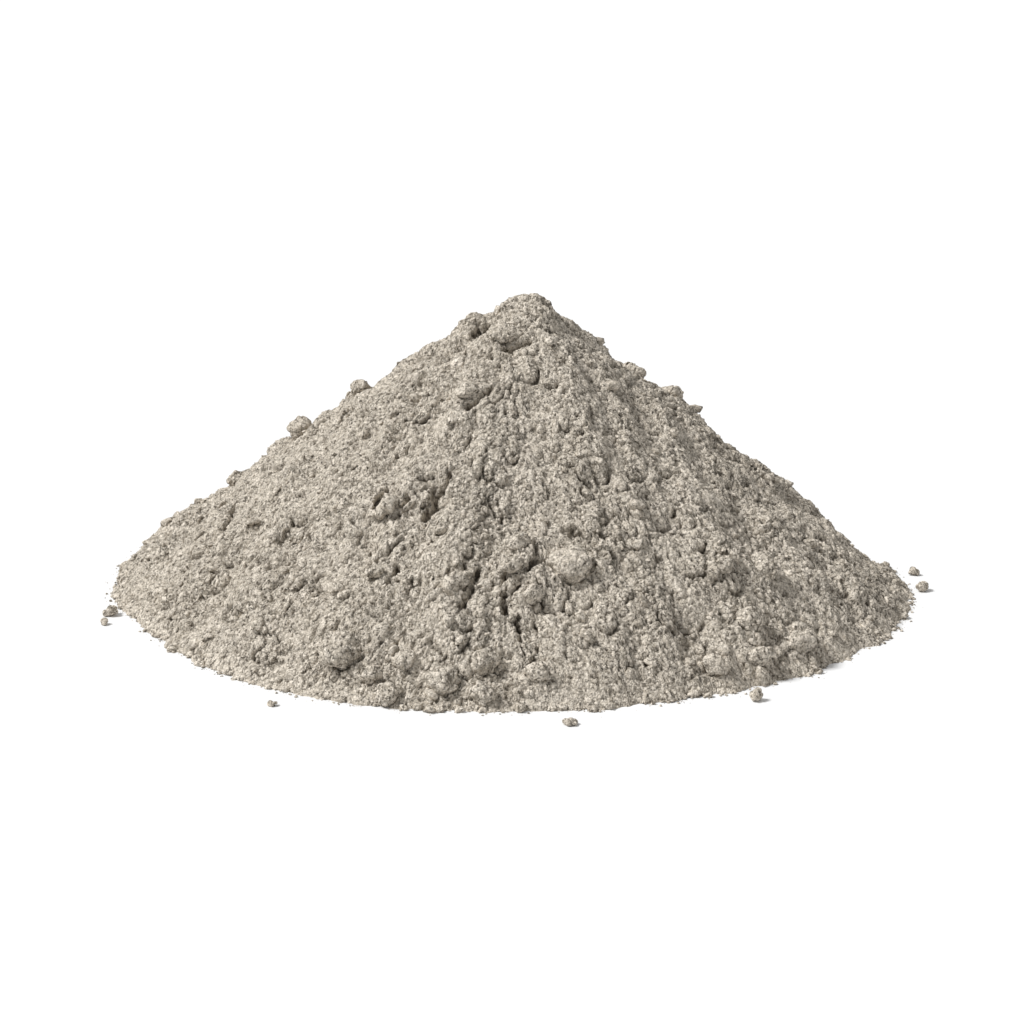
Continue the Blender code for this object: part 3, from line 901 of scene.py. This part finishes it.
def crumb_tree(material):
    """Scatters crumbs over the upper side of the pieces of a collection, as one realized mesh."""
    tree, _ = geometry_tree("scattered crumbs")
    ground = group_input(tree, "Ground", "NodeSocketCollection")
    density = group_input(tree, "Density", "NodeSocketFloat", 1000.0)
    smallest = group_input(tree, "Smallest", "NodeSocketFloat", 2 * MM)
    largest = group_input(tree, "Largest", "NodeSocketFloat", 4 * MM)
    sunk = group_input(tree, "Sunk", "NodeSocketFloat", 0.5)
    fineness = group_input(tree, "Fineness", "NodeSocketInt", 1)
    to_foot = group_input(tree, "To foot", "NodeSocketFloat", 0.0)
    seed = group_input(tree, "Seed", "NodeSocketInt", 1)
    lot = seed * LOT_STEP

    # they lie in drifts, and the larger ones more thickly towards the foot
    surface = gathered(ground)
    normal = surface.node("GeometryNodeInputNormal")
    place = surface.node("GeometryNodeInputPosition")
    crowd = noise(place, CRUMB_DRIFTS, 3).between(-0.22, 0.16) * 0.6 + 0.4
    crowd = crowd * normal.math("GREATER_THAN", normal.part(2), UPPER_SIDE)
    crowd = crowd * (1 - to_foot + to_foot * read_back(place, "share") ** 3)
    points = scattered(surface, crowd * density, seed)
    slope = points.beside("Normal")
    size = by_lot(lot + 1, 0.0, 1.0) ** SMALL_ONES * (largest - smallest) + smallest
    flat = by_lot(lot + 2, (0.95, 0.7, 0.5), (1.6, 1.05, 0.8), "FLOAT_VECTOR")
    seated = moved_by(points, slope.scaled(size * (BEDDING - sunk)))

    # each lies nearly flat on the slope, with its length down the slope, and is then jumbled a little
    place = seated.node("GeometryNodeInputPosition")
    lying = slope.node(
        "FunctionNodeAlignRotationToVector", {"axis": "Z"}, {"Vector": slope, "Factor": ALONG_SLOPE}
    )
    lying = lying.node(
        "FunctionNodeAlignRotationToVector",
        {"axis": "X", "pivot_axis": "Z"},
        {"Rotation": lying, "Vector": place.vector("MULTIPLY", place, (1, 1, 0))},
    )
    jumble = by_lot(lot + 4, (-0.6, -0.6, -0.7), (0.6, 0.6, 0.7), "FLOAT_VECTOR")
    lying = lying.node(
        "FunctionNodeRotateRotation", {"rotation_space": "LOCAL"}, {"Rotation": lying, "Rotate By": jumble}
    )
    crumbs = laid(seated, fineness, lot + 3, lying, flat.scaled(size))
    marked = stored(crumbs, "tint", by_lot(lot + 5, -0.16, 0.12), "INSTANCE")
    # each crumb takes on part of the painted shade of the hollow beneath it
    marked = stored(marked, "hollow", read_back(crumbs, "hollow") * CRUMB_HOLLOW_SHADE, "INSTANCE")
    end_tree(above_floor(marked), material)
    return tree


crumb_powder = powder_material("dry_crumbs", 0.03, 0.6, 1.0 * MM)
scatter = crumb_tree(crumb_powder)
ground = bpy.data.collections.new("ground_for_crumbs")
bpy.context.scene.collection.children.link(ground)
for piece in [skin, *(clod for clod in clods if "clod_" in clod.name)]:
    ground.objects.link(piece)
ground_area = sum(
    face.area for piece in ground.objects for face in piece.data.polygons if face.normal.z > UPPER_SIDE
)
# more are strewn than are aimed at, since some fall where none are wanted
SPARE_CRUMBS = 1.3
GRADES = {
    # name: how many are aimed at, smallest and largest in mm, share sunk, fineness, lean to the foot
    "lumps_on_slope": (1250, 3.6, 11.0, 0.54, 2, 0.75),
    "crumbs_on_slope": (3000, 1.6, 4.2, 0.45, 1, 0.2),
}
for seed, (name, (count, small, large, sunk, fineness, to_foot)) in enumerate(GRADES.items(), 3):
    grade = new_object(name, bpy.data.meshes.new(name))
    run_tree(
        grade,
        scatter,
        ground=ground,
        density=count / ground_area * SPARE_CRUMBS * (1 + to_foot),
        smallest=small * MM,
        largest=large * MM,
        sunk=sunk,
        fineness=fineness,
        to_foot=to_foot,
        seed=seed,
    )
    piece_on(grade, "render_clod")
bpy.data.collections.remove(ground)
bpy.data.objects.remove(skin)


# Foot: where the heap runs out, its powder lies in a ragged fringe on the floor. Crumbs have rolled to a
# stop there, and fine dust has puffed out a little further. It comes in three grades, each a piece of
# its own.

FRINGE_IN, FRINGE_OUT = 4 * MM, 17 * MM
FRINGE_RINGS = 10
FRINGE_BEDDING = 0.22
FRINGE_SMALL_ONES = 2.6
FRINGE_DRIFTS = 30 * MM
FRINGE_LOT_STEP = 17


def fringe_tree(material):
    """Scatters crumbs over a flat band, thickly at the heap and thinly away from it, each lying flat."""
    tree, band = geometry_tree("foot fringe")
    density = group_input(tree, "Density", "NodeSocketFloat", 1000.0)
    smallest = group_input(tree, "Smallest", "NodeSocketFloat", 1 * MM)
    largest = group_input(tree, "Largest", "NodeSocketFloat", 4 * MM)
    thinning = group_input(tree, "Thinning", "NodeSocketFloat", 3.0)
    fineness = group_input(tree, "Fineness", "NodeSocketInt", 1)
    seed = group_input(tree, "Seed", "NodeSocketInt", 1)
    lot = seed * FRINGE_LOT_STEP

    place = band.node("GeometryNodeInputPosition")
    away = read_back(place, "away")
    patchy = noise(place, FRINGE_DRIFTS, 2).between(-0.16, 0.2) * 0.85 + 0.15
    points = scattered(band, density * patchy * (1 - away) ** thinning, seed)
    size = by_lot(lot + 1, 0.0, 1.0) ** FRINGE_SMALL_ONES * (largest - smallest) + smallest
    size = size * (1.1 - away * 0.6)
    flat = by_lot(lot + 2, (0.9, 0.8, 0.45), (1.3, 1.1, 0.85), "FLOAT_VECTOR")
    turn = by_lot(lot + 4, (-0.4, -0.4, 0.0), (0.4, 0.4, 6.28), "FLOAT_VECTOR")
    seated = moved_by(points, points.combined(z=size * FRINGE_BEDDING))
    crumbs = laid(seated, fineness, lot + 3, turn, flat.scaled(size))
    marked = stored(crumbs, "tint", by_lot(lot + 5, -0.12, 0.16), "INSTANCE")
    end_tree(above_floor(marked), material)
    return tree


def foot_band(name):
    """A flat band round the foot of the heap. It stores away: 0 at the foot, 1 at the outer edge."""
    bm = bmesh.new()
    loops = []
    rings = [(ring / FRINGE_RINGS) ** 2 for ring in range(FRINGE_RINGS + 1)]
    for reach in (-FRINGE_IN, *(ring * FRINGE_OUT for ring in rings)):
        loop = []
        for azimuth, x, y in foot_line:
            loop.append(bm.verts.new((x + math.cos(azimuth) * reach, y + math.sin(azimuth) * reach, 0.0)))
        loops.append(loop)
    for inner, outer in zip(loops, loops[1:]):
        for index in range(len(inner)):
            bm.faces.new((inner[index - 1], outer[index - 1], outer[index], inner[index]))
    mesh = bpy.data.meshes.new(name)
    bm.to_mesh(mesh)
    bm.free()
    away = mesh.attributes.new("away", "FLOAT", "POINT")
    for index, value in enumerate(away.data):
        value.value = [0.0, *rings][index // len(foot_line)]
    return new_object(name, mesh)


fringe = fringe_tree(crumb_powder)
FRINGES = {
    # name: how thickly they lie at the foot, smallest and largest in mm, thinning, fineness
    "crumbs_at_foot": (560, 2.2, 7.5, 12.0, 2),
    "granules_at_foot": (2400, 0.9, 2.8, 7.0, 1),
    "dust_on_floor": (3000, 0.35, 0.9, 3.5, 1),
}
for seed, (name, (count, small, large, thinning, fineness)) in enumerate(FRINGES.items(), 31):
    piece = foot_band(name)
    run_tree(
        piece,
        fringe,
        density=count / (FRINGE_IN + FRINGE_OUT) * 2,
        smallest=small * MM,
        largest=large * MM,
        thinning=thinning,
        fineness=fineness,
        seed=seed,
    )
    piece_on(piece, "render_clod")


# Floor: one plain pale sheet, matt, and so wide that no horizon is seen.

FLOOR_SIZE = 60.0
FLOOR_COLOUR = (0.80, 0.80, 0.80, 1.0)
FLOOR_ROUGHNESS = 0.9

floor = new_object("floor", bpy.data.meshes.new("floor"))
bm = bmesh.new()
bmesh.ops.create_grid(bm, x_segments=1, y_segments=1, size=FLOOR_SIZE / 2)
bm.to_mesh(floor.data)
bm.free()
floor_material = bpy.data.materials.new("pale_floor")
floor_material.use_nodes = True
floor_shader = floor_material.node_tree.nodes["Principled BSDF"]
floor_shader.inputs["Base Color"].default_value = FLOOR_COLOUR
floor_shader.inputs["Roughness"].default_value = FLOOR_ROUGHNESS
floor.data.materials.append(floor_material)

# Light: a large soft key from the upper left, and a bright white surround.

KEY_STRENGTH = 3.5
KEY_ANGLE = math.radians(18)
KEY_DIRECTION = Vector((0.68, 0.10, -0.87))
SURROUND_STRENGTH = 0.46

key = bpy.data.objects.new("key_light", bpy.data.lights.new("key_light", "SUN"))
key.data.energy = KEY_STRENGTH
key.data.angle = KEY_ANGLE
key.rotation_euler = KEY_DIRECTION.to_track_quat("-Z", "Y").to_euler()
bpy.context.scene.collection.objects.link(key)

world = bpy.data.worlds.new("studio")
bpy.context.scene.world = world
world.use_nodes = True
surround = world.node_tree.nodes["Background"]
surround.inputs["Color"].default_value = (1.0, 1.0, 1.0, 1.0)
surround.inputs["Strength"].default_value = SURROUND_STRENGTH

bpy.context.scene.view_settings.view_transform = "Standard"
